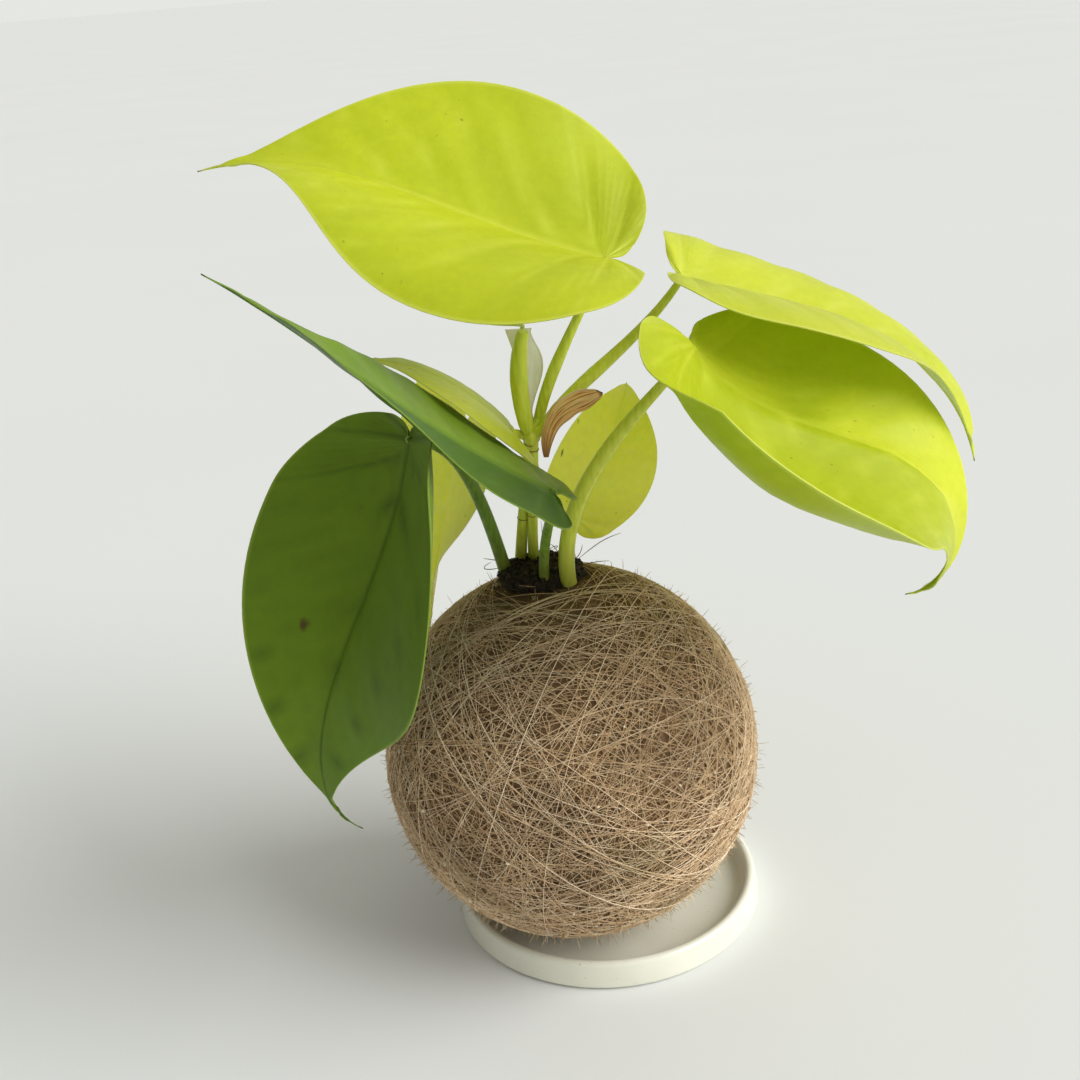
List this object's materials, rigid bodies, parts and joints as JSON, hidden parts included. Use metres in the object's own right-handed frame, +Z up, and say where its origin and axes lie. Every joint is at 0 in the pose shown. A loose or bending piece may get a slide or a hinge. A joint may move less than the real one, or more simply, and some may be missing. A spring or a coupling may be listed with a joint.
{
  "type": "kokedama moss ball plant",
  "caption": "Trailing heart-leaf plant growing from a round fibre root ball wound with thin twine, sitting in a shallow glazed saucer.",
  "frame": {"origin": "centre of the saucer's flat foot, on the surface it stands on", "axes": "+Z up; -Y is the side that most leaves face; +X to the right when seen from -Y"},
  "size_m": [0.2089, 0.135, 0.2513],
  "materials": {
    "saucer": "smooth off-white glaze",
    "coir": "matte coarse coconut fibre",
    "twine": "matte thin thread",
    "soil": "matte dark crumbs of peat and bark",
    "lime_leaf": "soft sheen, lets light through",
    "green_leaf": "soft sheen, darker green",
    "lime_stalk": "smooth and slightly glossy",
    "green_stalk": "smooth and slightly glossy",
    "fresh_sheath": "thin and see-through",
    "dry_sheath": "dry, brown and streaked"
  },
  "bodies": {
    "root": {"saucer": "saucer", "root_ball": "coir", "twine_wrap": "twine", "potting_soil": "soil", "upper_leaf": "lime_leaf", "right_upper_leaf": "lime_leaf", "right_lower_leaf": "lime_leaf", "left_hanging_leaf": "green_leaf", "inner_hanging_leaf": "lime_leaf", "front_folded_leaf": "green_leaf", "young_left_leaf": "lime_leaf", "back_upright_leaf": "lime_leaf", "stalk_upper": "lime_stalk", "stalk_right_upper": "lime_stalk", "stalk_right_lower": "lime_stalk", "stalk_left_hanging": "green_stalk", "stalk_front_folded": "green_stalk", "stalk_back_upright": "lime_stalk", "stalk_young_left": "lime_stalk", "stalk_inner_hanging": "lime_stalk", "vine_stem": "lime_stalk", "new_shoot": "lime_stalk", "shoot_tendril": "lime_stalk", "fresh_sheath": "fresh_sheath", "dry_sheath": "dry_sheath"}
  },
  "joints": []
}
